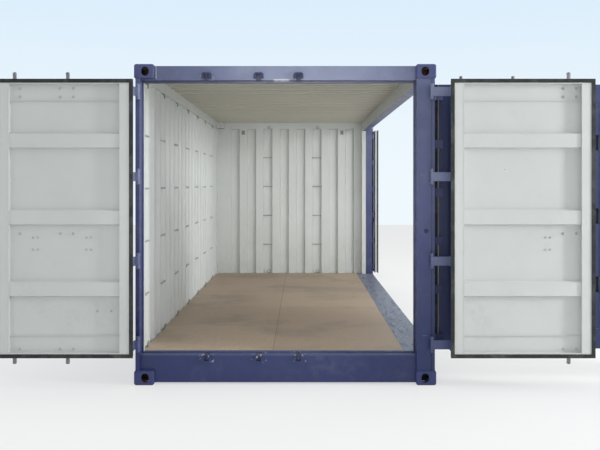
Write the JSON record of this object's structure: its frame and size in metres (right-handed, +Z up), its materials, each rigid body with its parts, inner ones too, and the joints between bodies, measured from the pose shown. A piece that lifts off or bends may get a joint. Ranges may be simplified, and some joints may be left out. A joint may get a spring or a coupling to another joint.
{
  "type": "open side shipping container",
  "caption": "Twenty foot steel shipping container with an open long side, two hinged end doors, folding side doors and a plywood floor.",
  "frame": {"origin": "ground level, at the centre of the four bottom corner apertures", "axes": "+X from the door end to the blind end, +Y to the closed side wall, +Z up"},
  "size_m": [8.996, 6.394, 2.591],
  "materials": {
    "frame_steel": "satin blue paint",
    "wall_sheet": "pale grey paint",
    "door_sheet": "pale grey paint inside, blue outside",
    "galvanised": "dull zinc",
    "seal_rubber": "matte",
    "plywood": "worn bare plywood"
  },
  "bodies": {
    "container": {"bottom_rail_left": "frame_steel", "cam_keepers": "galvanised", "corner_fittings_front_bottom": "frame_steel", "corner_fittings_front_top": "frame_steel", "corner_fittings_rear_bottom": "frame_steel", "corner_fittings_rear_top": "frame_steel", "door_header": "frame_steel", "door_sill": "frame_steel", "floor_beams": "frame_steel", "hinge_lugs_left": "frame_steel", "hinge_lugs_right": "frame_steel", "left_wall": "wall_sheet", "plywood_floor": "plywood", "post_front_left": "frame_steel", "post_front_right": "frame_steel", "post_rear_left": "frame_steel", "post_rear_right": "frame_steel", "rear_header": "frame_steel", "rear_lashing_bars": "galvanised", "rear_sill": "frame_steel", "rear_wall": "wall_sheet", "roof": "wall_sheet", "side_door_front_fold_hinges": "frame_steel", "side_door_front_gaskets": "seal_rubber", "side_door_front_lock_rods": "galvanised", "side_door_front_middle_frame": "frame_steel", "side_door_front_middle_panel": "door_sheet", "side_door_front_post_frame": "frame_steel", "side_door_front_post_hinges": "frame_steel", "side_door_front_post_panel": "door_sheet", "side_door_rear_fold_hinges": "frame_steel", "side_door_rear_gaskets": "seal_rubber", "side_door_rear_lock_rods": "galvanised", "side_door_rear_middle_frame": "frame_steel", "side_door_rear_middle_panel": "door_sheet", "side_door_rear_post_frame": "frame_steel", "side_door_rear_post_hinges": "frame_steel", "side_door_rear_post_panel": "door_sheet", "side_lashing_bars": "galvanised", "side_threshold": "frame_steel", "top_rail_left": "frame_steel", "top_rail_right": "frame_steel"},
    "left_end_door": {"left_end_door_frame": "frame_steel", "left_end_door_gasket": "seal_rubber", "left_end_door_hinges": "frame_steel", "left_end_door_lock_rods": "galvanised", "left_end_door_panel": "door_sheet"},
    "right_end_door": {"right_end_door_frame": "frame_steel", "right_end_door_gasket": "seal_rubber", "right_end_door_hinges": "frame_steel", "right_end_door_lock_rods": "galvanised", "right_end_door_panel": "door_sheet"}
  },
  "joints": [
    {"name": "left_end_door_hinge", "type": "hinge", "parent": "container", "child": "left_end_door", "pos_m": [-3.061, 1.18, 0], "axis": [0, 0, 1], "range_deg": [-90, 180]},
    {"name": "right_end_door_hinge", "type": "hinge", "parent": "container", "child": "right_end_door", "pos_m": [-3.061, -1.18, 0], "axis": [0, 0, -1], "range_deg": [0, 180]}
  ]
}
